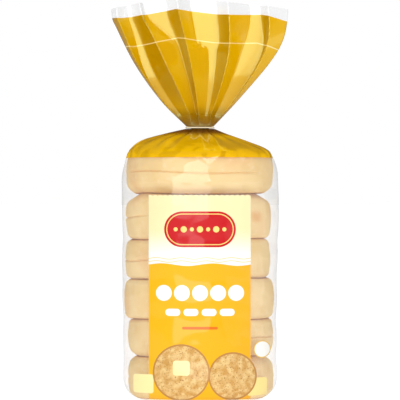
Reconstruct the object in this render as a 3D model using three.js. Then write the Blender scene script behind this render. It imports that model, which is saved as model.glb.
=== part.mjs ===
// A pack of six english muffins. They are stacked flat in a clear film bag, which is gathered
// at the neck, held by a flat plastic clip and spread above it in a pleated fan.
// Millimetres, +Z up. The origin is the middle of the base that the pack stands on, and
// the printed front faces -Y.

import * as THREE from "three";

// The stack, from the lowest muffin to the top one.
const muffinHeights = [28.5, 24.5, 26.0, 25.5, 29.5, 27.0];
const filmRadius = 50.3;
const topFilmRadius = 51.2;
const seamDip = 0.5; // how far the film sinks in between two muffins
const seamReach = 7; // how far above and below a seam it does so

// The rounded foot, and the flat spot that the pack stands on.
const footRadius = 14;
const flatRadius = filmRadius - footRadius;

// The shoulders, drawn in from the stack to the neck.
const shoulderStart = 143;
const gatherStart = 158;
const gatherFolds = 20;
const gatherDepth = 1.5;

// The clip, and the neck that passes through it.
const clipWidth = 18.8;
const clipDepth = 17.6;
const clipThickness = 0.8;
const clipCorner = 2.6;
const clipBottom = 176.6;
const clipTop = clipBottom + clipThickness;
const clipMouth = 3.4;
const neckHalfWidth = 5.9;
const neckHalfDepth = 2.9;
const clearance = 0.35; // film to clip
const bunchHalfWidth = 8.8; // the film where it spreads on either side of the clip
const bunchHalfDepth = 4.6;

// The fan above the clip.
const fanHalfWidth = 57.8;
const fanTop = 261;
const fanPeak = -0.28; // where along the top edge it stands highest, from -1 to 1
const fanDrop = 6.5; // how much lower its corners are
const fanLayerGap = 1.6; // front and back film, at the sides of the fan
const fanMouthGap = 5; // how much further apart they are at the middle of the mouth
const crestDepth = 4.6;
const valleyDepth = 4.2;
const edgeDepth = 3.4; // how far back the fan's two side edges lie

// The pleats, given at the fan's foot and at its top: the folds that stand forward, from -1 to 1,
// the share of each pleat that falls to its floor, and the share that climbs to the next fold.
const crests = { foot: [-0.98, -0.36, -0.03, 0.46, 0.95], top: [-0.93, -0.68, -0.26, 0.31, 0.765] };
const falls = { foot: [0.02, 0.75, 0.5, 0.33], top: [0.42, 0.07, 0.245, 0.54] };
const climbs = { foot: [0.6, 0.25, 0.29, 0.04], top: [0.39, 0.31, 0.225, 0.18] };
const changeFrom = [0.3, 0.6, 0.6, 0.55]; // how far up the fan each pleat's shares start to change
const changeTo = [0.95, 0.9, 0.68, 0.95];

// Facets round the pack, and levels up it.
const halfFacets = 40;
const facets = 2 * halfFacets;
const footLevels = 6;
const levelsPerMuffin = 4;
const shoulderLevels = 12;
const fanLevels = 13;

const smoothstep = THREE.MathUtils.smoothstep;
const lerp = THREE.MathUtils.lerp;

// A smooth outline through a few points of [size, height], read by height.
function outline(points) {
  const curve = new THREE.SplineCurve(points.map(([size, z]) => new THREE.Vector2(size, z)));
  const fine = curve.getPoints(400);
  return (z) => {
    const above = fine.findIndex((p) => p.y >= z);
    if (above < 0) return fine.at(-1).x;
    if (above === 0) return fine[0].x;
    const [a, b] = [fine[above - 1], fine[above]];
    return lerp(a.x, b.x, (z - a.y) / (b.y - a.y || 1));
  };
}

const shoulderEnd = clipBottom - clearance;
const leftShoulder = outline([
  [topFilmRadius, shoulderStart],
  [49.9, 150],
  [47.7, 157.5],
  [44.8, 163.2],
  [36.3, 169],
  [21, 173.3],
  [bunchHalfWidth, shoulderEnd],
]);
const rightShoulder = outline([
  [topFilmRadius, shoulderStart],
  [50.3, 150],
  [48.2, 157.5],
  [43.9, 163.1],
  [31.2, 168],
  [17.5, 172.6],
  [bunchHalfWidth, shoulderEnd],
]);

const fanStart = clipTop + clearance;
const leftFanOutline = outline([
  [bunchHalfWidth, fanStart],
  [25.5, 194.5],
  [42.2, 217.8],
  [54.2, 241.3],
  [fanHalfWidth, 250],
  [fanHalfWidth, fanTop],
]);
const rightFanOutline = outline([
  [bunchHalfWidth, fanStart],
  [24.5, 194.5],
  [44.4, 217.8],
  [53.6, 232.5],
  [fanHalfWidth - 0.8, 246],
  [fanHalfWidth, fanTop],
]);

const seams = muffinHeights.slice(0, -1).map((_, i) =>
  muffinHeights.slice(0, i + 1).reduce((sum, height) => sum + height, 0),
);

// The film's radius beside the stack: it spans from muffin to muffin and sinks in at each seam.
function bodyRadius(z) {
  const dips = seams.map((seam) => seamDip * Math.exp(-(((z - seam) / seamReach) ** 2)));
  const widening = smoothstep(z, footRadius, shoulderStart);
  return lerp(filmRadius, topFilmRadius, widening) - dips.reduce((sum, dip) => sum + dip, 0);
}

// How far forward of the fan's middle plane the film stands at u, which runs from -1 to 1.
// From each crest it falls to a flat floor, and then climbs again to the next crest.
function pleat(u, rise) {
  const folds = crests.foot.map((crest, i) => lerp(crest, crests.top[i], rise));
  if (u <= folds[0]) return lerp(-edgeDepth, crestDepth, (u + 1) / (folds[0] + 1));
  if (u >= folds.at(-1)) return lerp(-edgeDepth, crestDepth, (1 - u) / (1 - folds.at(-1)));
  const i = folds.findIndex((fold) => fold > u) - 1;
  const share = (u - folds[i]) / (folds[i + 1] - folds[i]);
  const high = smoothstep(rise, changeFrom[i], changeTo[i]);
  const down = share / lerp(falls.foot[i], falls.top[i], high);
  const up = (1 - share) / lerp(climbs.foot[i], climbs.top[i], high);
  return lerp(crestDepth, -valleyDepth, Math.min(1, down, up));
}

// The height of the fan's wavy top edge at u.
function topEdge(u) {
  const fromPeak = (u - fanPeak) / (u < fanPeak ? 1 + fanPeak : 1 - fanPeak);
  return fanTop - fanDrop * Math.abs(fromPeak) ** 1.5;
}

// One ring of points. Point 0 is at -X, and the front half comes first.
function ring(place) {
  return Array.from({ length: facets }, (_, i) => {
    const angle = (Math.PI * i) / halfFacets;
    const front = i <= halfFacets;
    const u = front ? (2 * i) / halfFacets - 1 : 3 - (2 * i) / halfFacets;
    return place(angle, u, front ? -1 : 1);
  });
}

function roundRing(halfWidth, halfDepth, z) {
  return ring((angle) => [-halfWidth * Math.cos(angle), -halfDepth * Math.sin(angle), z]);
}

function footRings() {
  return Array.from({ length: footLevels }, (_, i) => {
    const turn = (Math.PI / 2) * (i / footLevels);
    const radius = flatRadius + footRadius * Math.sin(turn);
    return roundRing(radius, radius, footRadius * (1 - Math.cos(turn)));
  });
}

function bodyRings() {
  const heights = [footRadius];
  let bottom = 0;
  for (const height of muffinHeights) {
    for (let step = 0; step < levelsPerMuffin; step++) {
      const z = bottom + (height * step) / levelsPerMuffin;
      if (z > footRadius + 2 && z < shoulderStart - 2) heights.push(z);
    }
    bottom += height;
  }
  return heights.map((z) => roundRing(bodyRadius(z), bodyRadius(z), z));
}

function shoulderRings() {
  return Array.from({ length: shoulderLevels + 1 }, (_, i) => {
    const z = lerp(shoulderStart, shoulderEnd, 1 - (1 - i / shoulderLevels) ** 1.6);
    const narrowing = smoothstep(z, gatherStart, shoulderEnd);
    return ring((angle) => {
      const halfWidth = lerp(leftShoulder(z), rightShoulder(z), (1 - Math.cos(angle)) / 2);
      const halfDepth = halfWidth * lerp(1, bunchHalfDepth / bunchHalfWidth, narrowing);
      const foldDepth = gatherDepth * narrowing * Math.min(1, halfDepth / 12);
      const fold = foldDepth * Math.cos(gatherFolds * angle);
      return [-(halfWidth + fold) * Math.cos(angle), -(halfDepth + fold) * Math.sin(angle), z];
    });
  });
}

function neckRings() {
  const step = 0.05;
  return [
    roundRing(neckHalfWidth, neckHalfDepth, shoulderEnd + step),
    roundRing(neckHalfWidth, neckHalfDepth, fanStart - step),
  ];
}

function fanRings() {
  return Array.from({ length: fanLevels + 1 }, (_, i) => {
    const rise = (i / fanLevels) ** 1.25;
    return ring((angle, u, side) => {
      const z = lerp(fanStart, topEdge(u), rise);
      const halfWidth = u < 0 ? leftFanOutline(z) : rightFanOutline(z);
      const spread = smoothstep(rise, 0, 0.2);
      const across = lerp(-Math.cos(angle), u, spread);
      const reach = (halfWidth / fanHalfWidth) ** 0.6;
      const gap = (fanLayerGap + fanMouthGap * rise * (1 - u * u)) * Math.sqrt(1 - u * u);
      const bunched = -bunchHalfDepth * Math.sin(angle);
      const pleated = (side * gap) / 2 - pleat(u, rise) * reach;
      return [halfWidth * across, lerp(bunched, pleated, spread), z];
    });
  });
}

// Joins the rings into one closed skin, with a flat base and a strip along the top edge.
function skin(rings) {
  const positions = rings.flat(2);
  const indices = [];
  for (let level = 0; level < rings.length - 1; level++) {
    for (let i = 0; i < facets; i++) {
      const a = level * facets + i;
      const b = level * facets + ((i + 1) % facets);
      indices.push(a, b, b + facets, a, b + facets, a + facets);
    }
  }
  const base = rings[0].map(([x, y]) => new THREE.Vector2(x, y));
  for (const [a, b, c] of THREE.ShapeUtils.triangulateShape(base, [])) {
    indices.push(...(THREE.ShapeUtils.area([base[a], base[b], base[c]]) > 0 ? [a, c, b] : [a, b, c]));
  }
  const top = (rings.length - 1) * facets;
  for (let i = 0; i < halfFacets; i++) {
    const [front, frontNext] = [top + i, top + i + 1];
    const [back, backNext] = [top + ((facets - i) % facets), top + facets - i - 1];
    if (i > 0) indices.push(front, frontNext, back);
    if (i < halfFacets - 1) indices.push(frontNext, backNext, back);
  }
  const geometry = new THREE.BufferGeometry();
  geometry.setAttribute("position", new THREE.Float32BufferAttribute(positions, 3));
  geometry.setIndex(indices);
  geometry.computeVertexNormals();
  return geometry;
}

// The clip's plate, with a rounded slot for the neck and a mouth at the back to push it in by.
function clipShape() {
  const [w, d, r] = [clipWidth / 2, clipDepth / 2, clipCorner];
  const slotHalfWidth = neckHalfWidth + clearance;
  const slotHalfDepth = neckHalfDepth + clearance;
  const slotCentre = slotHalfWidth - slotHalfDepth;
  const m = clipMouth / 2;
  const lip = 1.2;
  const shape = new THREE.Shape();
  shape.moveTo(m + lip, d);
  shape.lineTo(w - r, d);
  shape.absarc(w - r, d - r, r, Math.PI / 2, 0, true);
  shape.lineTo(w, -d + r);
  shape.absarc(w - r, -d + r, r, 0, -Math.PI / 2, true);
  shape.lineTo(-w + r, -d);
  shape.absarc(-w + r, -d + r, r, -Math.PI / 2, -Math.PI, true);
  shape.lineTo(-w, d - r);
  shape.absarc(-w + r, d - r, r, Math.PI, Math.PI / 2, true);
  shape.lineTo(-m - lip, d);
  shape.quadraticCurveTo(-m, d, -m, d - lip);
  shape.lineTo(-m, slotHalfDepth);
  shape.lineTo(-slotCentre, slotHalfDepth);
  shape.absarc(-slotCentre, 0, slotHalfDepth, Math.PI / 2, (3 * Math.PI) / 2, false);
  shape.lineTo(slotCentre, -slotHalfDepth);
  shape.absarc(slotCentre, 0, slotHalfDepth, -Math.PI / 2, Math.PI / 2, false);
  shape.lineTo(m, slotHalfDepth);
  shape.lineTo(m, d - lip);
  shape.quadraticCurveTo(m, d, m + lip, d);
  return shape;
}

const pack = new THREE.Group();

const bag = new THREE.Mesh(
  skin([...footRings(), ...bodyRings(), ...shoulderRings(), ...neckRings(), ...fanRings()]),
  new THREE.MeshStandardMaterial({ color: 0xecbf4a, roughness: 0.3, metalness: 0 }),
);
bag.name = "bag";
pack.add(bag);

const clip = new THREE.Mesh(
  new THREE.ExtrudeGeometry(clipShape(), {
    depth: clipThickness,
    bevelEnabled: false,
    curveSegments: 6,
  }),
  new THREE.MeshStandardMaterial({ color: 0xf4efe2, roughness: 0.4, metalness: 0 }),
);
clip.name = "clip";
clip.position.set(0, 0, clipBottom);
pack.add(clip);

export default pack;
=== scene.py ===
# %% [markdown]
# # A pack of english muffins
# Six muffins are stacked flat in a bag of clear film. The bag is printed on its front, turns
# golden yellow from the shoulders up, is gathered through a small flat clip, and opens above it
# in a pleated fan. The solids made beforehand say where everything is, so the lesson starts by
# loading them, and then dresses them: the clip stays and gets a finish, and the plain solid of
# the bag is replaced by film, print and muffins.

# %% Load the solids
import math
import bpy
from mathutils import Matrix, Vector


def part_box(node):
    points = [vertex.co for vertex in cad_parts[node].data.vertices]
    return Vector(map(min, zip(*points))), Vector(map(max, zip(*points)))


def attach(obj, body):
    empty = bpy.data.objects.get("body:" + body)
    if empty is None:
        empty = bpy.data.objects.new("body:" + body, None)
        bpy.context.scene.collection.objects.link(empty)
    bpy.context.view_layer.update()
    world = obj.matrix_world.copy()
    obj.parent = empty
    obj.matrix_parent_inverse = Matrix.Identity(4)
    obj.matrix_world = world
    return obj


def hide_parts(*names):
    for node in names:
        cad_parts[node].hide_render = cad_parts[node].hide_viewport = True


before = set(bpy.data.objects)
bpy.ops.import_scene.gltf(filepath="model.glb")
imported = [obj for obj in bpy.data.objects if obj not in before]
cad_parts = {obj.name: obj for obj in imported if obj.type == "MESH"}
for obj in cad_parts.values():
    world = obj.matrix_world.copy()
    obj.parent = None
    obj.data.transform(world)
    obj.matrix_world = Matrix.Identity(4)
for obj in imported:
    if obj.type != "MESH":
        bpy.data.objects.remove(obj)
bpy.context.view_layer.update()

from types import SimpleNamespace

import bpy
import numpy as np
from mathutils import Vector, noise

bag_low, bag_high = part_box("bag")
clip_low, clip_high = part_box("clip")
print("bag from", bag_low, "to", bag_high)

# %% [markdown]
# ## The sizes
# Every size is in metres, as Blender's own unit, and most repeat the ones that the solids were
# made from. Keeping them together as named values means that the muffins, the film and the print
# all agree about where the stack ends and where the neck begins. The shoulders aren't alike on
# the two sides, so each has an outline of its own: half widths and heights, in millimetres.

# %% Name the sizes
MM = 0.001
MUFFIN_HEIGHTS = [28.5 * MM, 24.5 * MM, 26.0 * MM, 25.5 * MM, 29.5 * MM, 27.0 * MM]
FILM_RADIUS = 50.3 * MM
TOP_FILM_RADIUS = 51.2 * MM
FOOT_RADIUS = 14 * MM
FLAT_RADIUS = FILM_RADIUS - FOOT_RADIUS
SHOULDER_START = 143 * MM
CLEARANCE = 0.35 * MM
NECK_BOTTOM = clip_low.z - CLEARANCE
NECK_TOP = clip_high.z + CLEARANCE
FAN_HALF_WIDTH = 57.8 * MM
BUNCH_HALF_WIDTH = 8.8 * MM
LEFT_SHOULDER_POINTS = [
    (51.2, 143), (49.9, 150), (47.7, 157.5), (44.8, 163.2), (36.3, 169), (21, 173.3)
]
RIGHT_SHOULDER_POINTS = [
    (51.2, 143), (50.3, 150), (48.2, 157.5), (43.9, 163.1), (31.2, 168), (17.5, 172.6)
]
for points in (LEFT_SHOULDER_POINTS, RIGHT_SHOULDER_POINTS):
    points.append((BUNCH_HALF_WIDTH / MM, NECK_BOTTOM / MM))
SEAMS = [sum(MUFFIN_HEIGHTS[: i + 1]) for i in range(len(MUFFIN_HEIGHTS) - 1)]
STACK_TOP = sum(MUFFIN_HEIGHTS)
print("seams at", [round(z / MM, 1) for z in SEAMS], "mm, stack to", round(STACK_TOP / MM, 1))

# %% [markdown]
# ## A few habits
# Blender's operators act on whatever is selected, and loading the solids leaves them selected.
# These helpers deselect everything, select one object, and finish a piece by putting its place
# into its mesh. A list of vertex positions is quickest to read and write all at once with numpy.

# %% Helpers for selecting and for moving vertices
def deselect_all():
    if bpy.context.mode != "OBJECT":
        bpy.ops.object.mode_set(mode="OBJECT")
    bpy.ops.object.select_all(action="DESELECT")


def select_only(piece):
    deselect_all()
    piece.select_set(True)
    bpy.context.view_layer.objects.active = piece


def read_places(piece):
    places = np.empty(len(piece.data.vertices) * 3)
    piece.data.vertices.foreach_get("co", places)
    return places.reshape(-1, 3)


def write_places(piece, places):
    piece.data.vertices.foreach_set("co", np.ascontiguousarray(places).ravel())
    piece.data.update()


def select_where(piece, kind, test):
    """Selects the vertices, edges or faces whose middle passes the test, in object mode."""
    kinds = ("vertices", "edges", "polygons")
    bpy.context.tool_settings.mesh_select_mode = [kind == one for one in kinds]
    mesh = piece.data
    for part in (mesh.polygons, mesh.edges, mesh.vertices):
        part.foreach_set("select", np.zeros(len(part), bool))
    for item in getattr(mesh, kind):
        if kind == "polygons":
            chosen = test(item)
        elif kind == "edges":
            chosen = test(*(mesh.vertices[v].co for v in item.vertices))
        else:
            chosen = test(item.co)
        item.select = chosen


def smoothstep(value, low, high):
    t = np.clip((value - low) / (high - low), 0, 1)
    return t * t * (3 - 2 * t)


def wavering(x, y, z, scale, seed):
    """Smooth random numbers from -1 to 1, one for each point, alike on every run."""
    points = np.column_stack([np.broadcast_to(v, np.shape(x)) for v in (x, y, z)]) / scale
    shift = Vector((seed * 3.7, seed * -1.9, seed * 5.3))
    return np.array([noise.noise(Vector(p) + shift) for p in points])


def finish_mesh(piece, smooth=True):
    select_only(piece)
    bpy.ops.object.transform_apply(location=True, rotation=True, scale=True)
    if smooth:
        bpy.ops.object.shade_smooth()
    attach(piece, "root")
    print(piece.name, len(piece.data.polygons), "faces")


# %% [markdown]
# ## The muffins
# An english muffin is baked on a griddle, first on one flat face and then on the other. So its
# faces are flat and brown, its edge is rounded, and its side stays pale and bulges. A cylinder
# is the start. Its two rims are bevelled round, its faces are inset into rings so that they can
# be made uneven, and its side is cut into rings for the shallow split half way up it.

# %% Shape one muffin
MUFFIN_RADIUS = 47.9 * MM
MUFFIN_HEIGHT = 27 * MM
RIM_BEVEL = 3.4 * MM
SPLIT_WIDTH = 0.5 * MM
SPLIT_DEPTH = 1.1 * MM
MUFFIN_SIDES = 112


def plain_muffin():
    deselect_all()
    bpy.ops.mesh.primitive_cylinder_add(
        vertices=MUFFIN_SIDES, radius=MUFFIN_RADIUS, depth=MUFFIN_HEIGHT, location=(0, 0, 0)
    )
    muffin = bpy.context.object
    muffin.name = "muffin"
    half = MUFFIN_HEIGHT / 2
    select_where(muffin, "edges", lambda a, b: abs(a.z - b.z) < 1e-6)
    bpy.ops.object.mode_set(mode="EDIT")
    bpy.ops.mesh.bevel(offset=RIM_BEVEL, segments=9, profile=0.45, affect="EDGES")
    straight = half - RIM_BEVEL
    close = [-2 * SPLIT_WIDTH, -SPLIT_WIDTH, 0, SPLIT_WIDTH, 2 * SPLIT_WIDTH]
    wide = np.linspace(2.4 * MM, straight - 1.0 * MM, 5)
    for height in [*close, *wide, *-wide]:
        bpy.ops.mesh.select_all(action="SELECT")
        bpy.ops.mesh.bisect(plane_co=(0, 0, height), plane_no=(0, 0, 1))
    bpy.ops.object.mode_set(mode="OBJECT")
    for side in (-1, 1):
        select_where(muffin, "polygons", lambda face: side * face.center.z > half - 1e-5)
        bpy.ops.object.mode_set(mode="EDIT")
        for ring in range(9):
            bpy.ops.mesh.inset(thickness=4.1 * MM)
        bpy.ops.mesh.poke()
        bpy.ops.object.mode_set(mode="OBJECT")
    return muffin


plain = plain_muffin()
print("plain muffin", len(plain.data.vertices), "points")

# %% [markdown]
# No two muffins are alike. Each copy of the plain one is stretched to its own height, moved a
# little off the middle of the stack, and made to bulge round its middle. Its points are pushed
# about by smooth noise: widely for the uneven outline, and finely for the skin. Where a rim was
# pressed less it stays rounder, so gaps of different depth are left between one muffin and the
# next. The split is pressed in only part of the way round, as a fork leaves it.

# %% Name how each muffin differs
MUFFIN_SHIFTS = [0.85, 0.64, -0.85, -1.35, -0.9, -0.1]
MUFFIN_WIDTHS = [0.978, 0.973, 1.008, 0.968, 0.978, 0.988]
RIM_SLACK = [[0.6, 1.6], [1.4, -0.9], [-0.7, -0.2], [-0.4, -0.6], [-0.1, 3.5], [2.6, 1.0]]
BULGES = [1.9, 2.1, 2.1, 2.1, 2.2, 1.3]
SPLIT_REACH = [2.2, -0.6, 1.1, -2.3, 2.9, -1.75]
SCORCHED = 4
SCORCH_TURN = -0.66
STACK_FLOOR = 1.1 * MM
TOUCH_GAP = 0.02 * MM
print("muffins bulge by", BULGES, "mm")


# %% [markdown]
# The sideways form comes first. Each point of the plain muffin is described by its place as a
# share of the radius and the height, so that the same few functions serve muffins of any size.

# %% Say how wide a muffin is at each point
def describe_points(muffin):
    """Where each point of the plain muffin is: across, along and up it, and how far round."""
    x, y, z = read_places(muffin).T
    at = SimpleNamespace(x=x, y=y, z=z, rise=z / MUFFIN_HEIGHT)
    at.across, at.along = x / MUFFIN_RADIUS, y / MUFFIN_RADIUS
    at.side = smoothstep(np.hypot(x, y), 0.55 * MUFFIN_RADIUS, MUFFIN_RADIUS)
    at.turning = np.arctan2(y, x)
    return at


def split_mark(number, at):
    """1 where the fork has left its split, falling to 0 beside it."""
    split = np.exp(-((at.z / (1.2 * SPLIT_WIDTH)) ** 2)) * at.side
    return split * smoothstep(np.cos(at.turning - SPLIT_REACH[number]), 0.35, 0.7)


def widening(number, at):
    """How many times further out each point stands than in the plain muffin."""
    wide = 1.0 * MM * wavering(at.across, at.along, 0.3 * at.rise, 0.75, number)
    bulge = (0.7 - BULGES[number] * 4 * at.rise * at.rise) * MM
    fine = 0.22 * MM * wavering(at.across, at.along, at.rise, 0.17, number + 20)
    skin = 0.05 * MM * wavering(at.across, at.along, at.rise, 0.06, number + 40)
    rim = smoothstep(np.abs(at.rise), 0.2, 0.5) ** 2
    slack_below, slack_above = RIM_SLACK[number]
    slack = np.where(at.rise > 0, slack_above, slack_below) * MM
    slack *= 1.2 + wavering(at.across, at.along, np.sign(at.rise), 0.8, number + 60)
    moved = at.side * (wide + bulge + fine + skin - rim * slack)
    moved -= SPLIT_DEPTH * split_mark(number, at)
    return (1 + moved / MUFFIN_RADIUS) * MUFFIN_WIDTHS[number]


def shoulder_at(z, points):
    """The half width at a height, straight from each point of a shoulder to the next."""
    half_widths, heights = np.array(points).T
    return np.interp(z / MM, heights, half_widths) * MM


def room_inside(z, turning):
    """How far out bread may reach: to just inside the film, also at the foot and shoulders."""
    angle = np.arccos(np.clip(1 - z / FOOT_RADIUS, 0, 1))
    foot = FLAT_RADIUS + FOOT_RADIUS * np.sin(angle)
    left = shoulder_at(z, LEFT_SHOULDER_POINTS)
    right = shoulder_at(z, RIGHT_SHOULDER_POINTS)
    rightward = 0.5 + 0.5 * np.cos(turning)
    return np.minimum(foot, left * (1 - rightward) + right * rightward) - 0.9 * MM


# %% [markdown]
# Then the heights. The faces of two neighbours lean alike, so that they lie on each other, and
# each face is a little dented in its middle. How well done each point is goes into an attribute,
# which the material will read: most on the two faces, some at the rims, and least on the side.

# %% Say how high each point stands, and how well done it is
def lean(x, y, seam):
    """How far the seam between two muffins strays up or down, as neither face is quite level."""
    return 1.2 * MM * wavering(x / MUFFIN_RADIUS, y / MUFFIN_RADIUS, 2.0 * seam, 1.1, 50)


def height_in_stack(number, at):
    gap_below = STACK_FLOOR if number == 0 else TOUCH_GAP
    low = sum(MUFFIN_HEIGHTS[:number]) + gap_below
    span = MUFFIN_HEIGHTS[number] - gap_below - TOUCH_GAP
    tilted = 0.05 * np.sin(2 * at.turning + 1.3 * number) + 0.02 * np.sin(5 * at.turning)
    middle = tilted * (1 - (2 * at.rise) ** 2) * at.side * 0.6
    crumbs = 1 + wavering(at.across, at.along, at.rise, 0.12, number + 80)
    inward = 1 - smoothstep(np.hypot(at.x, at.y), 0.7 * MUFFIN_RADIUS, 0.85 * MUFFIN_RADIUS)
    face = np.sign(at.rise) * smoothstep(np.abs(at.rise), 0.47, 0.5)
    dent = face * 0.2 * MM * crumbs * inward
    height = low + span * (at.rise + middle + 0.5) - dent
    height = height + lean(at.x, at.y, number + 1) * (0.5 + at.rise)
    if number > 0:
        height += lean(at.x, at.y, number) * (0.5 - at.rise)
    return height


def doneness(number, at):
    patches = 0.5 + 0.5 * wavering(at.across, at.along, 0.6 * at.rise, 0.35, number + 100)
    done = smoothstep(np.abs(at.rise), 0.462, 0.51) * (0.5 + 0.7 * patches)
    done = done + 0.3 * split_mark(number, at)
    if number == SCORCHED:
        from_scorch = (at.turning - SCORCH_TURN) / 0.16
        done += 0.52 * np.exp(-(from_scorch**2) - (at.z / (4 * MM)) ** 2)
    return np.clip(done, 0, 1)


# %% [markdown]
# Now the plain muffin is copied six times. Each copy is cut once more all over, so that it can
# take the fine skin, and its points are moved. What would reach through the film is held back.

# %% Copy the muffin six times, each copy uneven in its own way
def finer_copy(name):
    muffin = plain.copy()
    muffin.data = plain.data.copy()
    muffin.name = name
    bpy.context.collection.objects.link(muffin)
    select_only(muffin)
    modifier = muffin.modifiers.new("fine", "SUBSURF")
    modifier.subdivision_type = "SIMPLE"
    modifier.levels = modifier.render_levels = 1
    bpy.ops.object.modifier_apply(modifier=modifier.name)
    return muffin


def uneven_muffin(number):
    muffin = finer_copy(f"muffin_{number + 1}")
    at = describe_points(muffin)
    grow = widening(number, at)
    x, y = at.x * grow + MUFFIN_SHIFTS[number] * MM, at.y * grow
    z = height_in_stack(number, at)
    held_back = np.minimum(1, room_inside(z, at.turning) / np.maximum(np.hypot(x, y), 1 * MM))
    write_places(muffin, np.column_stack([x * held_back, y * held_back, z]))
    toast = muffin.data.attributes.new("toast", "FLOAT", "POINT")
    toast.data.foreach_set("value", doneness(number, at))
    return muffin


muffins = [uneven_muffin(number) for number in range(len(MUFFIN_HEIGHTS))]
bpy.data.objects.remove(plain)
for muffin in muffins:
    finish_mesh(muffin)

# %% [markdown]
# ## The film as a rolled sheet
# A bread bag is a flat sheet of film rolled into a tube and sealed along the back. It is made
# here in the same way: a grid is the flat sheet, code rolls it up, and the two edges are merged
# at the back. Each column of the grid keeps its place round the bag and each row its place up
# it, so one function that says where a row and a column go gives the whole bag its form.

# %% Cut the sheet
COLUMNS = 360
ROW_COUNTS = {
    "base": 10,
    "foot": 12,
    "body": 62,
    "shoulder": 44,
    "neck": 5,
    "fan": 46,
    "edge": 7,
}
STRETCHES = list(ROW_COUNTS)
ROWS = sum(ROW_COUNTS.values())
STARTS = {name: sum(list(ROW_COUNTS.values())[:i]) for i, name in enumerate(STRETCHES)}


def flat_sheet(name, columns, rows):
    deselect_all()
    bpy.ops.mesh.primitive_grid_add(x_subdivisions=columns, y_subdivisions=rows, size=1)
    sheet = bpy.context.object
    sheet.name = name
    return sheet


bag = flat_sheet("bag_film", COLUMNS, ROWS)
print("sheet of", len(bag.data.vertices), "points,", ROWS, "rows")

# %% [markdown]
# ## The form of the bag
# Round the stack the film is a loose tube that spans from muffin to muffin and sinks in a
# little at each seam but the highest, with long soft creases where it hangs slack. At the
# shoulders it is drawn in to the neck, and the slack gathers in folds that deepen towards the clip.

# %% Say how wide the bag is at each height
def through(points, count=400):
    """A smooth outline through a few (size, height) points, as a table to look sizes up in."""
    sizes, heights = np.array(points, float).T * MM
    steps = np.arange(len(points))
    fine = np.linspace(0, len(points) - 1, count)
    padded_sizes = np.concatenate([[2 * sizes[0] - sizes[1]], sizes, [2 * sizes[-1] - sizes[-2]]])
    padded_heights = np.concatenate(
        [[2 * heights[0] - heights[1]], heights, [2 * heights[-1] - heights[-2]]]
    )
    at = np.minimum(fine.astype(int), len(steps) - 2)
    t = fine - at

    def blend(values):
        a, b, c, d = (values[at + k] for k in range(4))
        return 0.5 * (2 * b + (c - a) * t + (2 * a - 5 * b + 4 * c - d) * t**2
                      + (3 * b - a - 3 * c + d) * t**3)

    return blend(padded_sizes), np.maximum.accumulate(blend(padded_heights))


def look_up(outline, height):
    return np.interp(height, outline[1], outline[0])


BUNCH_HALF_DEPTH = 4.6 * MM
NECK_HALF_WIDTH = 5.8 * MM
NECK_HALF_DEPTH = 2.8 * MM
LEFT_SHOULDER = through(LEFT_SHOULDER_POINTS)
RIGHT_SHOULDER = through(RIGHT_SHOULDER_POINTS)
FAN_FOOT = [(BUNCH_HALF_WIDTH / MM, NECK_TOP / MM)]
LEFT_FAN = through(
    FAN_FOOT + [(25.5, 194.5), (42.2, 217.8), (54.2, 241.3), (57.8, 250), (57.8, 261)]
)
RIGHT_FAN = through(
    FAN_FOOT + [(24.5, 194.5), (44.4, 217.8), (53.6, 232.5), (57, 246), (57.8, 261)]
)
SEAM_DIP = 0.5 * MM
SEAM_REACH = 7 * MM


def body_radius(z):
    climbed = smoothstep(z, FOOT_RADIUS, SHOULDER_START)
    radius = FILM_RADIUS + (TOP_FILM_RADIUS - FILM_RADIUS) * climbed
    for seam in SEAMS[:-1]:
        radius = radius - SEAM_DIP * np.exp(-(((z - seam) / SEAM_REACH) ** 2))
    return radius


def creases(turn, z):
    """Long soft creases that fade out at the foot, and deeper slack at the shoulders."""
    x, y = np.cos(turn), np.sin(turn)
    long = 0.55 * MM * wavering(x, y, z / (90 * MM), 0.34, 3)
    slanted = 0.3 * MM * wavering(x + z / (70 * MM), y, z / (45 * MM), 0.2, 7)
    slack = 1.4 * MM * wavering(1.7 * x, 1.7 * y, z / (45 * MM), 0.26, 11)
    slack = slack * smoothstep(z, 140 * MM, 158 * MM)
    return (long + slanted) * smoothstep(z, 4 * MM, 30 * MM) + slack


# %% [markdown]
# The tube is followed row by row: the folded base, the rounded foot, the body, the shoulders,
# the neck and the fan. The base is sealed across in a straight line, as a bag's end is, so its
# rows close from a circle to that line.

# %% Place the rows of the round part
BASE_LIFT = 0.7 * MM
BASE_SEAM_HALF = 29 * MM
GATHERS = 20
GATHER_DEPTH = 1.5 * MM


def base_row(t, turn):
    x, y = -FLAT_RADIUS * np.sin(turn), FLAT_RADIUS * np.cos(turn)
    seam_x = -BASE_SEAM_HALF * np.sin(turn)
    tucks = 0.5 + 0.5 * np.cos(9 * turn)
    height = BASE_LIFT * (1 - t) + 0.35 * MM * tucks * t * (1 - t) * 4
    return seam_x * (1 - t) + x * t, y * t, height


def foot_row(t, turn):
    angle = math.pi / 2 * t
    radius = FLAT_RADIUS + FOOT_RADIUS * np.sin(angle)
    z = FOOT_RADIUS * (1 - np.cos(angle))
    radius = radius + creases(turn, z)
    return -radius * np.sin(turn), radius * np.cos(turn), z


def body_row(t, turn):
    z = FOOT_RADIUS + (SHOULDER_START - FOOT_RADIUS) * t
    radius = body_radius(z) + creases(turn, z)
    return -radius * np.sin(turn), radius * np.cos(turn), z


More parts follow.
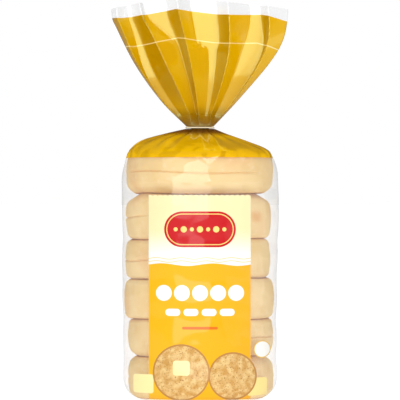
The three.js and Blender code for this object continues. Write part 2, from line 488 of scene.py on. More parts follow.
def shoulder_row(t, turn):
    z = SHOULDER_START + (NECK_BOTTOM - SHOULDER_START) * (1 - (1 - t) ** 1.6)
    leftward = 0.5 + 0.5 * np.sin(turn)
    left, right = look_up(LEFT_SHOULDER, z), look_up(RIGHT_SHOULDER, z)
    half_width = left * leftward + right * (1 - leftward)
    narrowing = smoothstep(z, 158 * MM, NECK_BOTTOM)
    half_depth = half_width * (1 + (BUNCH_HALF_DEPTH / BUNCH_HALF_WIDTH - 1) * narrowing)
    folds = np.cos(GATHERS * turn) + 0.8 * np.cos((GATHERS + 7) * turn + 1) * (1 - narrowing)
    depth = GATHER_DEPTH * folds * narrowing * np.minimum(1, half_depth / (12 * MM))
    depth = depth + creases(turn, z) * (1 - smoothstep(z, 160 * MM, 174 * MM))
    return -(half_width + depth) * np.sin(turn), (half_depth + depth) * np.cos(turn), z


def neck_row(t, turn):
    z = NECK_BOTTOM + (NECK_TOP - NECK_BOTTOM) * (0.04 + 0.92 * t)
    fold = 1 - 0.16 * (0.5 + 0.5 * np.cos(14 * turn + 4 * t))
    return -NECK_HALF_WIDTH * fold * np.sin(turn), NECK_HALF_DEPTH * fold * np.cos(turn), z


# %% [markdown]
# ## The fan
# Above the clip the film springs open again. Its front and back lie close together, and both
# fall into the same pleats, which run up from the neck like the ribs of a hand fan. Each pleat
# falls back from a sharp ridge to a flat floor, and climbs again to the next ridge. The ridges
# lean, so each has its place given at the foot and at the top of the fan, and the shares of a
# pleat that fall and climb change from "low" to "top" somewhere on the way up. The very top of
# the fan is unprinted and clear.

# %% Say how the film is pleated
LOW_CRESTS = np.array([[-0.98], [-0.36], [-0.03], [0.46], [0.95]])
TOP_CRESTS = np.array([[-0.93], [-0.68], [-0.26], [0.31], [0.765]])
FALLS = {"low": np.array([0.02, 0.75, 0.5, 0.33]), "top": np.array([0.42, 0.07, 0.245, 0.54])}
CLIMBS = {"low": np.array([0.6, 0.25, 0.29, 0.04]), "top": np.array([0.39, 0.31, 0.225, 0.18])}
CHANGE_FROM = np.array([0.3, 0.6, 0.6, 0.55])
CHANGE_TO = np.array([0.95, 0.9, 0.68, 0.95])
CREST_DEPTH = 4.6 * MM
VALLEY_DEPTH = 4.2 * MM
EDGE_DEPTH = 3.4 * MM
FAN_PEAK = -0.28
FAN_TOP = 261 * MM
FAN_DROP = 6.5 * MM
FAN_LAYER_GAP = 1.6 * MM
FAN_MOUTH_GAP = 5 * MM
SPREAD_BY = 0.1
FAN_BOW = 2.1 * MM
FAN_BOWED_BY = 0.42


def ridges(rise):
    """Where across the fan its ridges stand at each height, one row for each ridge."""
    return LOW_CRESTS * (1 - rise) + TOP_CRESTS * rise


def pleat_shares(u, rise):
    """How far across its pleat a point lies, and which shares of it fall and climb up there."""
    crests = ridges(rise)
    number = np.clip((u >= crests).sum(axis=0) - 1, 0, len(crests) - 2)
    points = np.arange(len(u))
    left, right = crests[number, points], crests[number + 1, points]
    high = smoothstep(rise, CHANGE_FROM[number], CHANGE_TO[number])
    fall, climb = (
        shares["low"][number] * (1 - high) + shares["top"][number] * high
        for shares in (FALLS, CLIMBS)
    )
    return (u - left) / (right - left), fall, climb


def pleat(u, rise):
    """How far forward of the middle plane the film stands at u, from -1 to 1."""
    first, *_, last = ridges(rise)
    share, fall, climb = pleat_shares(u, rise)
    down = np.clip(np.minimum(share / fall, (1 - share) / climb), 0, 1)
    down = down + 0.1 * np.sin(math.pi * down)
    depth = CREST_DEPTH - (CREST_DEPTH + VALLEY_DEPTH) * down
    edges = np.minimum((u + 1) / (first + 1), (1 - u) / (1 - last))
    outside = (u < first) | (u > last)
    outer = CREST_DEPTH - (CREST_DEPTH + EDGE_DEPTH) * (1 - np.clip(edges, 0, 1))
    return np.where(outside, outer, depth)


def climbing(u, rise):
    """How nearly a point lies on the side of a pleat that climbs to the next ridge."""
    first, *_, last = ridges(rise)
    share, _, climb = pleat_shares(u, rise)
    inside = (u > first) & (u < last)
    steep = np.where(inside, smoothstep(share, 0.88 - climb, 1.1 - climb), 0)
    return np.where(u < first, 1, steep)


# %% [markdown]
# The edge of the fan is cut in a shallow arch, and the print ends in a wavier line below it. Low
# down the whole fan bows forward, and from there up it stands straight. That is why the lamps'
# streaks on the pleats end about half way down.

# %% Place the rows of the fan
def top_edge(u):
    from_peak = (u - FAN_PEAK) / np.where(u < FAN_PEAK, 1 + FAN_PEAK, 1 - FAN_PEAK)
    return FAN_TOP - FAN_DROP * np.abs(from_peak) ** 1.5


PRINT_EDGE = np.array(
    [(-1, 248.6), (-0.9, 248.5), (-0.62, 250.7), (-0.28, 254.3), (0.16, 251.2), (0.35, 250.5)]
    + [(0.7, 250.9), (0.8, 249.5), (1, 246.4)]
)


def print_edge(u):
    """The height at which the yellow print ends, below the clear top edge."""
    return np.interp(u, *PRINT_EDGE.T) * MM


def across_fan(turn):
    """Whether a point is on the front layer, and how far across the fan it lies, from -1 to 1."""
    sheet = np.mod(turn / (2 * math.pi), 1)
    front = (sheet > 0.25) & (sheet < 0.75)
    back = np.where(sheet <= 0.25, -4 * sheet, 4 - 4 * sheet)
    return front, np.where(front, 4 * sheet - 2, back)


def fan_row(t, turn, top):
    front, u = across_fan(turn)
    edge = top_edge(u)
    z = NECK_TOP + (top(u) - NECK_TOP) * t
    rise = (z - NECK_TOP) / (edge - NECK_TOP)
    half_width = np.where(u < 0, look_up(LEFT_FAN, z), look_up(RIGHT_FAN, z))
    spread = smoothstep(rise, 0, SPREAD_BY)
    across = -np.sin(turn) * (1 - spread) + u * spread
    reach = (half_width / FAN_HALF_WIDTH) ** 0.35
    bow = FAN_BOW * (0.5 - np.maximum(0, 1 - rise / FAN_BOWED_BY) ** 1.3)
    gap = (FAN_LAYER_GAP + FAN_MOUTH_GAP * rise * (1 - u * u)) * np.sqrt(np.maximum(0, 1 - u * u))
    side = np.where(front, -1, 1)
    bunched = BUNCH_HALF_DEPTH * np.cos(turn)
    ripple = 0.5 * MM * wavering(2 * u, 0.4 * side, 1.2 * rise, 0.6, 5) * rise
    pleated = side * gap / 2 - bow - pleat(u, rise) * reach + ripple
    return half_width * across, bunched * (1 - spread) + pleated * spread, z


# %% [markdown]
# ## Roll the sheet up
# Each row of the sheet now goes to its place. The column says how far round the bag a point
# lies: the two edges of the sheet meet at the back, where they are merged by distance. The row
# where the base closes merges with itself in the same way.

# %% Roll the sheet up
def row_places(name, t, turn):
    if name == "fan":
        return fan_row(t**1.25, turn, print_edge)
    if name == "edge":
        return fan_row(1, turn, lambda u: print_edge(u) * (1 - t) + top_edge(u) * t)
    place = {"base": base_row, "foot": foot_row, "body": body_row}
    place.update({"shoulder": shoulder_row, "neck": neck_row})
    return place[name](t, turn)


def roll_up(sheet):
    flat = read_places(sheet)
    turn = 2 * math.pi * (flat[:, 0] + 0.5)
    row = np.rint((flat[:, 1] + 0.5) * ROWS).astype(int)
    places = np.zeros_like(flat)
    for name in STRETCHES:
        count = ROW_COUNTS[name]
        last = 1 if name == STRETCHES[-1] else 0
        for step in range(count + last):
            here = row == STARTS[name] + step
            x, y, z = row_places(name, step / count, turn[here])
            places[here] = np.column_stack([x, y, np.broadcast_to(z, x.shape)])
    write_places(sheet, places)
    return row, turn


rows_of_bag, turns_of_bag = roll_up(bag)
print("bag spans", [round(v / MM, 1) for v in np.ptp(read_places(bag), axis=0)], "mm")

# %% [markdown]
# ## What the finish of the film depends on
# Before the seams are merged, each row and column can still be told apart. So this is the moment
# to keep three numbers for each point: how far it lies below the end of the print, how much painted
# shade it takes where the film is folded double and under the clip, and how much painted light
# where it lies against the bread.

# %% Mark the points for the materials
NOT_IN_FAN = 100 * MM


def mark_below_edge(sheet):
    """How far below the yellow print's upper edge each point of the fan lies."""
    heights = read_places(sheet)[:, 2]
    below = np.full(len(heights), NOT_IN_FAN)
    edge = heights[rows_of_bag == STARTS["edge"]]
    for row in range(STARTS["fan"], ROWS + 1):
        here = rows_of_bag == row
        below[here] = np.maximum(0, edge - heights[here])
    attribute = sheet.data.attributes.new("below_edge", "FLOAT", "POINT")
    attribute.data.foreach_set("value", below)


def mark_painted_fold_shade(sheet):
    """Painted shade where the film also lies double: on the climbing sides of the pleats, in the
    gathers at the clip and on the shoulders just under it.
    """
    z = read_places(sheet)[:, 2]
    # Painted shade on the shoulders just under the clip.
    fold_shade = smoothstep(z, 170.5 * MM, 174.5 * MM)
    fan = rows_of_bag >= STARTS["fan"]
    _, u = across_fan(turns_of_bag[fan])
    rise = (z[fan] - NECK_TOP) / (top_edge(u) - NECK_TOP)
    # Painted shade in the gathers at the foot of the fan, and on the climbing sides of the pleats.
    gathered = 0.85 * (1 - smoothstep(rise, 0.01, 0.2))
    fold_shade[fan] = np.maximum(0.46 * climbing(u, rise) * smoothstep(rise, 0.05, 0.3), gathered)
    attribute = sheet.data.attributes.new("painted_fold_shade", "FLOAT", "POINT")
    attribute.data.foreach_set("value", fold_shade)


def mark_painted_bread_light(sheet):
    """Painted light on the yellow film where it lies against the top muffin, which also shows
    through it there.
    """
    x, y, z = read_places(sheet).T
    across, along = x / FILM_RADIUS, y / FILM_RADIUS
    edge = (165.5 - 4 * across) * MM + 5 * MM * wavering(across, along, z / (40 * MM), 0.22, 21)
    painted_bread_light = 1 - smoothstep(z, edge - 1.5 * MM, edge + 1.5 * MM)
    # Spots where the painted light is left out.
    tucks = wavering(across, along, z / (80 * MM), 0.13, 31)
    painted_bread_light *= 1 - 0.95 * smoothstep(tucks, 0.2, 0.34)
    attribute = sheet.data.attributes.new("painted_bread_light", "FLOAT", "POINT")
    attribute.data.foreach_set("value", painted_bread_light)


for mark in (mark_below_edge, mark_painted_fold_shade, mark_painted_bread_light):
    mark(bag)
print("marks kept:", [a.name for a in bag.data.attributes if a.data_type == "FLOAT"])

# %% [markdown]
# The faces from the shoulders up take the yellow material, and the seams are merged.

# %% Print the rows yellow, and merge the seams
PRINT_START = 156.4 * MM


def merge_doubles(piece, distance=1e-6):
    select_only(piece)
    bpy.ops.object.mode_set(mode="EDIT")
    bpy.ops.mesh.select_all(action="SELECT")
    bpy.ops.mesh.remove_doubles(threshold=distance)
    bpy.ops.object.mode_set(mode="OBJECT")


def print_yellow(sheet):
    """The faces from the shoulders up to the clear top edge take the second material."""
    row_heights = [read_places(sheet)[rows_of_bag == row][:, 2].mean() for row in range(ROWS + 1)]
    first = next(row for row in range(ROWS) if row_heights[row] >= PRINT_START)
    for face in sheet.data.polygons:
        row = min(rows_of_bag[v] for v in face.vertices)
        face.material_index = 1 if first <= row < STARTS["edge"] else 0
    print("yellow from", round(row_heights[first] / MM, 1), "mm")


print_yellow(bag)
merge_doubles(bag)
finish_mesh(bag)
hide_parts("bag")

# %% [markdown]
# ## The printed front
# The real print is ink on the film itself. It could be one more material on the bag, but then
# the whole bag would share one picture in a game engine, and the print would blur. So the ink is
# a patch of its own: a second sheet, bent round the front a hair outside the film, with the same
# creases because it asks the same functions where the film is.

# %% Bend a printed patch round the film
INK_LIFT = 0.25 * MM


def film_place(turn, along):
    """A point of the film, by its place round the bag and its height along foot and body."""
    angle = np.clip(np.arccos(np.clip(1 - along / FOOT_RADIUS, -1, 1)), 0, math.pi / 2)
    foot = FLAT_RADIUS + FOOT_RADIUS * np.sin(angle)
    radius = np.where(along < FOOT_RADIUS, foot, body_radius(np.maximum(along, FOOT_RADIUS)))
    return radius + creases(turn, along)


def printed_patch(name, middle, half_turn, low, high, columns, rows):
    patch = flat_sheet(name, columns, rows)
    flat = read_places(patch)
    turn = math.radians(middle) + 2 * flat[:, 0] * math.radians(half_turn)
    z = low + (high - low) * np.clip(flat[:, 1] + 0.5, 0, 1) ** 1.15
    radius = film_place(turn, z) + INK_LIFT
    write_places(patch, np.column_stack([-radius * np.sin(turn), radius * np.cos(turn), z]))
    finish_mesh(patch)
    return patch


front_print = printed_patch("front_print", 180, 71, 1.2 * MM, 133.9 * MM, 130, 110)
back_print = printed_patch("back_print", 0, 46, 12 * MM, 132 * MM, 90, 80)

# %% [markdown]
# ## Materials: a few helpers
# A Blender material is a tree of nodes. These helpers add a node, fill or link its inputs and
# give back what it puts out, so that a material reads as a list of steps. An effect that more
# than one material needs is a node group: built once, and placed wherever it is wanted.

# %% Node helpers
def fill_inputs(tree, node, inputs):
    """Links each input to what another node puts out, or sets it to a plain value."""
    for name, value in inputs.items():
        if isinstance(value, bpy.types.NodeSocket):
            tree.links.new(value, node.inputs[name])
        else:
            node.inputs[name].default_value = value
    return node


def add_node(tree, kind, inputs=None, **settings):
    node = tree.nodes.new("ShaderNode" + kind)
    for name, value in settings.items():
        setattr(node, name, value)
    return fill_inputs(tree, node, inputs or {})


def calculate(tree, operation, first, second=0.0, clamp=False):
    node = add_node(tree, "Math", {0: first, 1: second}, operation=operation, use_clamp=clamp)
    return node.outputs[0]


def remap(tree, value, low, high, to_low=0.0, to_high=1.0, smooth=True):
    kind = "SMOOTHSTEP" if smooth else "LINEAR"
    inputs = {"Value": value, 1: low, 2: high, 3: to_low, 4: to_high}
    return add_node(tree, "MapRange", inputs, interpolation_type=kind).outputs[0]


def mix_colours(tree, mask, below, above, kind="MIX"):
    def colour(value):
        return (*value, 1) if isinstance(value, tuple) and len(value) == 3 else value

    inputs = {0: mask, 6: colour(below), 7: colour(above)}
    return add_node(tree, "Mix", inputs, data_type="RGBA", blend_type=kind).outputs[2]


def srgb(code):
    """The linear colour of a six-figure colour code, as a painter would look it up."""
    parts = [int(code[i : i + 2], 16) / 255 for i in (0, 2, 4)]
    return tuple(p / 12.92 if p <= 0.04045 else ((p + 0.055) / 1.055) ** 2.4 for p in parts)


def new_material(name):
    material = bpy.data.materials.new(name)
    material.use_nodes = True
    tree = material.node_tree
    return material, tree, tree.nodes["Principled BSDF"]


def new_group(name, inputs, outputs):
    group = bpy.data.node_groups.new(name, "ShaderNodeTree")
    for socket, kind in inputs.items():
        group.interface.new_socket(name=socket, in_out="INPUT", socket_type="NodeSocket" + kind)
    for socket, kind in outputs.items():
        group.interface.new_socket(name=socket, in_out="OUTPUT", socket_type="NodeSocket" + kind)
    start = group.nodes.new("NodeGroupInput")
    end = group.nodes.new("NodeGroupOutput")
    return group, start, end


def use_group(tree, group, inputs):
    node = tree.nodes.new("ShaderNodeGroup")
    node.node_tree = group
    return fill_inputs(tree, node, inputs)


def object_places(tree):
    return add_node(tree, "TexCoord").outputs["Object"]


def add_bump(tree, shader, height, strength, distance):
    """Makes the surface look uneven, by tilting the way it faces."""
    inputs = {"Height": height, "Strength": strength, "Distance": distance}
    bump = add_node(tree, "Bump", inputs)
    tree.links.new(bump.outputs[0], shader.inputs["Normal"])


# %% [markdown]
# ## Bread
# Bread has two finishes that show here: the pale, floury side, and the browned griddle crust.
# Both are mottled and pitted, only more or less so. The group gives the mottle and the pits, and
# is used again where a toasted round is printed on the front.

# %% A group for mottled crumb
def make_crumb_group():
    group, start, end = new_group(
        "Crumb", {"Place": "Vector", "Size": "Float"}, {"Mottle": "Float", "Pits": "Float"}
    )
    place, size = start.outputs["Place"], start.outputs["Size"]
    wide = add_node(group, "TexNoise", {"Vector": place, "Scale": size, "Detail": 4.0})
    finer = calculate(group, "MULTIPLY", size, 5.0)
    pits = add_node(group, "TexNoise", {"Vector": place, "Scale": finer, "Detail": 3.0})
    group.links.new(remap(group, wide.outputs[0], 0.32, 0.68), end.inputs["Mottle"])
    group.links.new(remap(group, pits.outputs[0], 0.56, 0.7), end.inputs["Pits"])
    return group


crumb_group = make_crumb_group()


def make_bread():
    material, tree, shader = new_material("bread")
    place = object_places(tree)
    crumb = use_group(tree, crumb_group, {"Place": place, "Size": 55.0})
    broad = add_node(tree, "TexNoise", {"Vector": place, "Scale": 21.0, "Detail": 2.0})
    toast = add_node(tree, "Attribute", attribute_name="toast").outputs["Fac"]
    side = mix_colours(tree, crumb.outputs["Mottle"], srgb("F0D294"), srgb("EAC784"))
    warm = remap(tree, broad.outputs[0], 0.56, 0.72)
    side = mix_colours(tree, calculate(tree, "MULTIPLY", warm, 0.4), side, srgb("E8AC6C"))
    rim = remap(tree, toast, 0.08, 0.5)
    crust = mix_colours(tree, crumb.outputs["Mottle"], srgb("C58B45"), srgb("A4662B"))
    colour = mix_colours(tree, rim, side, srgb("E2AC62"))
    colour = mix_colours(tree, remap(tree, toast, 0.45, 0.95), colour, crust)
    flour = calculate(tree, "MULTIPLY", crumb.outputs["Pits"], 0.2)
    colour = mix_colours(tree, flour, colour, srgb("F6E8C8"))
    height = calculate(tree, "SUBTRACT", crumb.outputs["Mottle"], crumb.outputs["Pits"])
    add_bump(tree, shader, height, 0.1, 0.4 * MM)
    finish = {"Base Color": colour, "Roughness": 0.85, "Specular IOR Level": 0.2}
    fill_inputs(tree, shader, finish)
    return material


bread = make_bread()
for muffin in muffins:
    muffin.data.materials.append(bread)
print("bread on", len(muffins), "muffins")

# %% [markdown]
# ## Clear film
# Thin film is seen through almost everywhere. It shows by what it mirrors: a soft streak of each
# lamp along a crease, and a grey edge where it is seen almost edge on. So plain transparency is
# mixed with a shiny, half metallic white, and the share of the white grows towards the edges.

# %% A group for the faint unevenness of film, and the clear film itself
def make_film_group():
    group, start, end = new_group(
        "Film unevenness", {"Place": "Vector"}, {"Haze": "Float", "Height": "Float"}
    )
    long = add_node(group, "Mapping", {"Vector": start.outputs["Place"], "Scale": (1, 1, 0.25)})
    fine = {"Vector": long.outputs[0], "Scale": 30.0, "Detail": 1.0}
    streaks = add_node(group, "TexNoise", fine)
    coarse = {"Vector": start.outputs["Place"], "Scale": 22.0, "Detail": 0.5}
    cells = add_node(group, "TexNoise", coarse)
    group.links.new(remap(group, streaks.outputs[0], 0.45, 0.8), end.inputs["Haze"])
    total = calculate(group, "ADD", streaks.outputs[0], cells.outputs[0])
    group.links.new(total, end.inputs["Height"])
    return group


film_group = make_film_group()


def mix_with_clear(tree, shader, share, tint=(1, 1, 1)):
    """Shows the shader for this share, and what is behind it for the rest."""
    clear = add_node(tree, "BsdfTransparent", {"Color": (*tint, 1)})
    mix = add_node(tree, "MixShader", {0: share, 1: clear.outputs[0], 2: shader.outputs[0]})
    tree.links.new(mix.outputs[0], tree.nodes["Material Output"].inputs["Surface"])


def make_clear_film():
    material, tree, shader = new_material("clear film")
    film = use_group(tree, film_group, {"Place": object_places(tree)})
    finish = {"Base Color": (0.95, 0.96, 0.97, 1), "Metallic": 0.45, "Roughness": 0.12}
    fill_inputs(tree, shader, finish)
    add_bump(tree, shader, film.outputs["Height"], 0.1, 1 * MM)
    edge = add_node(tree, "LayerWeight", {"Blend": 0.22}).outputs["Facing"]
    share = calculate(tree, "ADD", 0.12, calculate(tree, "MULTIPLY", edge, 0.25))
    haze = calculate(tree, "MULTIPLY", film.outputs["Haze"], 0.02)
    mix_with_clear(tree, shader, calculate(tree, "ADD", share, haze, clamp=True))
    return material


# %% [markdown]
# ## Yellow film
# Ink makes the film golden yellow and lets a little light through. It is painted darker, as shade,
# on the climbing sides of the pleats and in the gathers at and under the clip, where the film also
# lies double, and painted lighter, as light, where it lies against the bread, which also shows
# through it. It is shiny, which gives the broad pale streaks on its pleats, and less so in the
# gathers and at the foot of the fan, where fine wrinkles blur what it mirrors. A thin pale line
# runs across the fan, a fixed way below the end of the print. All this is read from the numbers
# that were kept for each point.

# %% The yellow film
PALE_LINE_BELOW = 18.6 * MM
PALE_LINE_HALF = 0.32 * MM
BLUR_FROM, BLUR_TO = 30 * MM, 70 * MM
FAN_ENDS, BAG_BEGINS = 80 * MM, 90 * MM


def make_yellow_film():
    material, tree, shader = new_material("yellow film")
    film = use_group(tree, film_group, {"Place": object_places(tree)})
    yellow = mix_colours(tree, film.outputs["Haze"], srgb("E8B400"), srgb("E1AA00"))
    # Painted light: the film is lighter where it lies on the top muffin, where the bread also shows
    # through.
    painted_bread_light = add_node(tree, "Attribute", attribute_name="painted_bread_light").outputs["Fac"]
    yellow = mix_colours(tree, painted_bread_light, yellow, srgb("FFC80A"))
    # Painted shade: much darker on the climbing sides of the pleats, in the gathers and under the
    # clip.
    fold_shade = add_node(tree, "Attribute", attribute_name="painted_fold_shade").outputs["Fac"]
    yellow = mix_colours(tree, fold_shade, yellow, srgb("6E3600"))
    below = add_node(tree, "Attribute", attribute_name="below_edge").outputs["Fac"]
    away = calculate(tree, "ABSOLUTE", calculate(tree, "SUBTRACT", below, PALE_LINE_BELOW))
    line = remap(tree, away, PALE_LINE_HALF * 0.6, PALE_LINE_HALF * 1.4, 1.0, 0.0)
    colour = mix_colours(tree, calculate(tree, "MULTIPLY", line, 0.75), yellow, srgb("FFE9A8"))
    gathered = remap(tree, fold_shade, 0.47, 0.8, 0.09, 0.24)
    low = remap(tree, below, BLUR_FROM, BLUR_TO)
    in_fan = remap(tree, below, FAN_ENDS, BAG_BEGINS, 1.0, 0.0)
    blurred = calculate(tree, "MULTIPLY", calculate(tree, "MULTIPLY", low, in_fan), 0.18)
    roughness = calculate(tree, "ADD", gathered, blurred)
    finish = {"Base Color": colour, "Roughness": roughness, "IOR": 2.2}
    finish["Specular Tint"] = (0.72, 0.98, 0.5, 1)
    fill_inputs(tree, shader, finish)
    add_bump(tree, shader, film.outputs["Height"], 0.15, 1 * MM)
    share = calculate(tree, "ADD", 0.82, calculate(tree, "MULTIPLY", line, 0.1), clamp=True)
    mix_with_clear(tree, shader, share, srgb("FFD840"))
    return material


bag.data.materials.append(make_clear_film())
bag.data.materials.append(make_yellow_film())

# %% [markdown]
# ## Ink
# The front shows a cream field over a golden one, which meet in a wave, with a plain red oval,
# rows of white shapes and toasted rounds. Each shape is a mask worked out from where a point is,
# in millimetres across and up. One group gives any rounded rectangle, and so any disc or bar, and
# another gives what lies below a wave.

# %% Groups for the printed shapes
def make_rounded_group():
    sizes = ["Across", "Up", "Middle across", "Middle up", "Half width", "Half height", "Corner"]
    group, start, end = new_group(
        "Rounded field", {name: "Float" for name in sizes}, {"Mask": "Float"}
    )
    out = start.outputs

    def overhang(place, middle, half):
        away = calculate(group, "ABSOLUTE", calculate(group, "SUBTRACT", out[place], out[middle]))
        straight = calculate(group, "SUBTRACT", out[half], out["Corner"])
        return calculate(group, "MAXIMUM", calculate(group, "SUBTRACT", away, straight), 0.0)

    across = overhang("Across", "Middle across", "Half width")
    up = overhang("Up", "Middle up", "Half height")
    across_squared = calculate(group, "MULTIPLY", across, across)
    up_squared = calculate(group, "MULTIPLY", up, up)
    squares = calculate(group, "ADD", across_squared, up_squared)
    beyond = calculate(group, "SUBTRACT", calculate(group, "SQRT", squares), out["Corner"])
    group.links.new(remap(group, beyond, -0.12, 0.12, 1.0, 0.0), end.inputs["Mask"])
    return group


def make_wave_group():
    names = ["Across", "Up", "Level", "Height", "Length"]
    group, start, end = new_group(
        "Below a wave", {name: "Float" for name in names}, {"Mask": "Float"}
    )
    out = start.outputs
    turns = calculate(group, "DIVIDE", out["Across"], out["Length"])
    sine = calculate(group, "SINE", calculate(group, "MULTIPLY", turns, 2 * math.pi))
    swing = calculate(group, "MULTIPLY", sine, out["Height"])
    edge = calculate(group, "ADD", out["Level"], swing)
    beyond = calculate(group, "SUBTRACT", out["Up"], edge)
    group.links.new(remap(group, beyond, -0.12, 0.12, 1.0, 0.0), end.inputs["Mask"])
    return group


rounded_group = make_rounded_group()
wave_group = make_wave_group()


# %% [markdown]
# Each mask lays its colour over the ones before it. Seen from inside the bag the ink glows
# faintly, which stands for the daylight that comes through it.

# %% Lay shapes of ink one over another
LIGHT_THROUGH_INK = 0.3


class Ink:
    """Lays printed shapes one over another, and keeps where there is ink at all."""

    def __init__(self, tree):
        self.tree = tree
        self.place = object_places(tree)
        split = add_node(tree, "SeparateXYZ", {0: self.place})
        self.across = calculate(tree, "MULTIPLY", split.outputs["X"], 1000.0)
        self.up = calculate(tree, "MULTIPLY", split.outputs["Z"], 1000.0)
        self.colour = (1, 1, 1)
        self.cover = 0.0

    def field(self, across, up, half_width, half_height, corner):
        inputs = {"Across": self.across, "Up": self.up, "Middle across": across, "Middle up": up}
        inputs.update({"Half width": half_width, "Half height": half_height, "Corner": corner})
        return use_group(self.tree, rounded_group, inputs).outputs[0]

    def disc(self, across, up, radius):
        return self.field(across, up, radius, radius, radius)

    def below_wave(self, level, height, length):
        inputs = {"Across": self.across, "Up": self.up, "Level": level}
        inputs.update({"Height": height, "Length": length})
        return use_group(self.tree, wave_group, inputs).outputs[0]

    def both(self, first, second):
        return calculate(self.tree, "MULTIPLY", first, second)

    def without(self, first, second):
        rest = calculate(self.tree, "SUBTRACT", 1.0, second)
        return calculate(self.tree, "MULTIPLY", first, rest)

    def lay(self, mask, colour):
        self.colour = mix_colours(self.tree, mask, self.colour, colour)
        self.cover = calculate(self.tree, "MAXIMUM", self.cover, mask)

    def finish(self, shader):
        tree = self.tree
        film = use_group(tree, film_group, {"Place": self.place})
        finish = {"Base Color": self.colour, "Roughness": 0.4, "Specular IOR Level": 0.1}
        finish.update({"Coat Weight": 0.7, "Coat Roughness": 0.08})
        behind = add_node(tree, "NewGeometry").outputs["Backfacing"]
        glow = calculate(tree, "MULTIPLY", behind, LIGHT_THROUGH_INK)
        finish.update({"Emission Color": self.colour, "Emission Strength": glow})
        fill_inputs(tree, shader, finish)
        add_bump(tree, shader, film.outputs["Height"], 0.12, 1 * MM)
        mix_with_clear(tree, shader, self.cover)


# %% [markdown]
# The sizes of the printed shapes are in millimetres, measured across from the middle of the
# front and up from the base.

# %% The front print
GOLD_INK = srgb("F0AF10")
CREAM_INK = srgb("F0E4B0")
RED_INK = srgb("C5161D")
WHITE_INK = srgb("F4F2EC")


def toasted_round(ink, across, up, radius):
    """A round of toasted bread, seen on its cut face, in flat printed colours."""
    crumb = use_group(ink.tree, crumb_group, {"Place": ink.place, "Size": 260.0})
    ink.lay(ink.disc(across, up, radius), srgb("B98442"))
    inner = mix_colours(ink.tree, crumb.outputs["Mottle"], srgb("E6C586"), srgb("CB9A52"))
    inner = mix_colours(ink.tree, crumb.outputs["Pits"], inner, srgb("9E6C34"))
    ink.lay(ink.disc(across, up, radius - 1.1), inner)


def make_front_ink():
    material, tree, shader = new_material("front ink")
    ink = Ink(tree)
    panel = ink.field(-0.2, 66.5, 32.8, 66.6, 0.2)
    panel = ink.both(panel, ink.below_wave(133.0, 0.35, 3.3))
    fade = remap(tree, ink.up, 92.0, 112.0)
    ink.lay(panel, mix_colours(tree, fade, WHITE_INK, CREAM_INK))
    for level in (92.6, 90.6):
        line = ink.without(
            ink.below_wave(level, 0.5, 16.0), ink.below_wave(level - 0.45, 0.5, 16.0)
        )
        ink.lay(ink.both(panel, line), srgb("E4C777"))
    gold = ink.both(panel, ink.below_wave(88.4, 0.8, 33.0))
    # The gold field turns a little lighter towards the left.
    lighter_leftward = remap(tree, ink.across, -34.0, 20.0)
    ink.lay(gold, mix_colours(tree, lighter_leftward, srgb("F1B416"), GOLD_INK))
    ink.lay(ink.field(0, 111, 23, 11.5, 11.5), RED_INK)
    rim = ink.without(ink.field(0, 111, 21.6, 10.1, 10.1), ink.field(0, 111, 21.0, 9.5, 9.5))
    ink.lay(rim, srgb("F6D77C"))
    for step in range(-3, 4):
        ink.lay(ink.disc(step * 5.2, 111, 1.3 if step % 2 else 2.0), srgb("F6D77C"))
    for step in range(5):
        ink.lay(ink.disc((step - 2) * 11.6, 70.2, 5.1), WHITE_INK)
    for step in range(4):
        ink.lay(ink.field((step - 1.5) * 11.6, 57.8, 4.8, 2.3, 2.3), WHITE_INK)
    ink.lay(ink.field(0, 47.7, 11.5, 0.9, 0.9), srgb("E0701A"))
    ink.lay(ink.field(-36.5, 11.5, 6.6, 6.2, 1.6), srgb("FBE9A6"))
    ink.lay(ink.field(37.0, 9.5, 6.4, 6.0, 1.6), srgb("F7DE8E"))
    toasted_round(ink, 21.0, 16.6, 15.6)
    toasted_round(ink, -12.0, 19.0, 18.4)
    ink.lay(ink.field(-12.0, 22.0, 5.4, 4.8, 1.8), srgb("FBE9A6"))
    ink.lay(ink.disc(40.2, 33.6, 5.6), srgb("E8B93C"))
    ink.lay(ink.disc(40.2, 33.6, 5.0), WHITE_INK)
    ink.finish(shader)
    return material


front_print.data.materials.append(make_front_ink())

# %% [markdown]
# The back is printed more plainly, with a bare white panel on the two fields.

# %% The back print
def make_back_ink():
    material, tree, shader = new_material("back ink")
    ink = Ink(tree)
    panel = ink.field(0, 72.0, 33.6, 58.6, 0.6)
    ink.lay(panel, CREAM_INK)
    ink.lay(ink.both(panel, ink.below_wave(100.0, 0.8, 33.0)), GOLD_INK)
    ink.lay(ink.field(0, 58.0, 27.0, 34.0, 2.5), WHITE_INK)
    ink.lay(ink.field(0, 114.5, 18.0, 5.0, 5.0), RED_INK)
    ink.finish(shader)
    return material


back_print.data.materials.append(make_back_ink())

# %% [markdown]
# ## The clip
# The solid of the clip has the right shape already, so it stays and only gets a finish: stiff
# off-white plastic sheet, a little uneven where it was punched out.

# %% Finish the clip
def make_clip_plastic():
    material, tree, shader = new_material("clip plastic")
    place = object_places(tree)
    cloud = add_node(tree, "TexNoise", {"Vector": place, "Scale": 140.0, "Detail": 3.0})
    colour = mix_colours(tree, cloud.outputs[0], srgb("E4D8B8"), srgb("D6C8A2"))
    roughness = remap(tree, cloud.outputs[0], 0.3, 0.7, 0.32, 0.48)
    fill_inputs(tree, shader, {"Base Color": colour, "Roughness": roughness})
    add_bump(tree, shader, cloud.outputs[0], 0.1, 0.5 * MM)
    return material


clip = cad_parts["clip"]
clip.data.materials.clear()
clip.data.materials.append(make_clip_plastic())

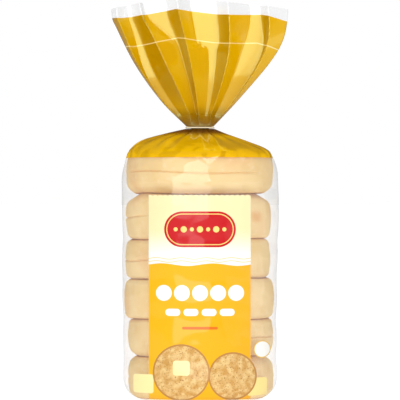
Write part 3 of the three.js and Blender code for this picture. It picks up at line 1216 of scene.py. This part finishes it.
# %% [markdown]
# ## Studio
# The pack stands on a wide pale floor under a white sky. A broad soft lamp stands in front of it,
# to the left, where the pleats mirror it as pale streaks. A low small one at the right brightens
# the edge of the bread, and two from above light the shoulders, of which the higher isn't
# mirrored. Floor and sky are white where the camera sees them, and dim in what the film mirrors,
# so that the lamps can model the form.

# %% The floor
deselect_all()
bpy.ops.mesh.primitive_plane_add(size=200, location=(0, 0, 0))
floor = bpy.context.object
floor.name = "floor"


FLOOR_GLOW = 0.86
FLOOR_MIRRORED = 0.05


def make_floor_paint():
    material, tree, shader = new_material("pale floor")
    cloud = add_node(tree, "TexNoise", {"Vector": object_places(tree), "Scale": 3.0})
    colour = mix_colours(tree, cloud.outputs[0], (0.44, 0.44, 0.44), (0.46, 0.46, 0.46))
    mirrored = add_node(tree, "LightPath").outputs["Is Glossy Ray"]
    glow = remap(tree, mirrored, 0.0, 1.0, FLOOR_GLOW, FLOOR_MIRRORED, smooth=False)
    finish = {"Base Color": colour, "Roughness": 0.9, "Specular IOR Level": 0.0}
    finish.update({"Emission Color": (1, 1, 1, 1), "Emission Strength": glow})
    fill_inputs(tree, shader, finish)
    return material


floor.data.materials.append(make_floor_paint())

# %% [markdown]
# The lamps are area lamps aimed at the middle of the pack, or at its foot.

# %% The lamps
def soft_lamp(name, place, aim, width, height, power):
    deselect_all()
    bpy.ops.object.light_add(type="AREA", location=place)
    lamp = bpy.context.object
    lamp.name = name
    lamp.data.shape = "RECTANGLE"
    lamp.data.size = width
    lamp.data.size_y = height
    lamp.data.energy = power
    lamp.rotation_euler = (Vector(aim) - Vector(place)).to_track_quat("-Z", "Y").to_euler()
    return lamp


MIDDLE = (0, 0, 0.14)
soft_lamp("front lamp", (-0.72, -3.3, 0.45), MIDDLE, 3.1, 2.4, 60)
soft_lamp("right lamp", (0.62, -0.2, 0.06), (0, 0, 0.06), 0.9, 0.16, 0.25)
soft_lamp("high lamp", (0.5, -1.6, 1.5), MIDDLE, 1.0, 1.0, 8)
top_lamp = soft_lamp("top lamp", (0, -0.3, 1.7), MIDDLE, 1.6, 1.6, 9)
top_lamp.visible_glossy = False

# %% [markdown]
# The sky is one colour. Light Path nodes give it one strength for the camera, another as a light
# and a third for what is mirrored.

# %% The sky
SKY_LIGHT = 0.48
SKY_MIRRORED = 0.05
world = bpy.data.worlds.new("studio")
bpy.context.scene.world = world
world.use_nodes = True
sky = world.node_tree
ray = sky.nodes.new("ShaderNodeLightPath")
mirrored = ray.outputs["Is Glossy Ray"]
as_light = remap(sky, mirrored, 0.0, 1.0, SKY_LIGHT, SKY_MIRRORED, smooth=False)
strength = remap(sky, ray.outputs["Is Camera Ray"], 0.0, 1.0, as_light, 1.0, smooth=False)
sky.nodes["Background"].inputs["Color"].default_value = (1, 1, 1, 1)
sky.links.new(strength, sky.nodes["Background"].inputs["Strength"])
bpy.context.scene.view_settings.view_transform = "Standard"

# %% [markdown]
# ## Camera
# The photograph was taken level, from far off with a long lens: the base is nearly a straight
# line, and the clip is seen edge on. The pack fills the picture from top to bottom.

# %% Camera
CAMERA_DISTANCE = 2.6
PICTURE_HEIGHT = 261.2 * MM
bpy.ops.object.camera_add(location=(0, -CAMERA_DISTANCE, 0.1298), rotation=(math.pi / 2, 0, 0))
camera = bpy.context.object
camera.data.sensor_width = 36
camera.data.lens = 36 * CAMERA_DISTANCE / PICTURE_HEIGHT
camera.data.clip_end = 200
bpy.context.scene.camera = camera
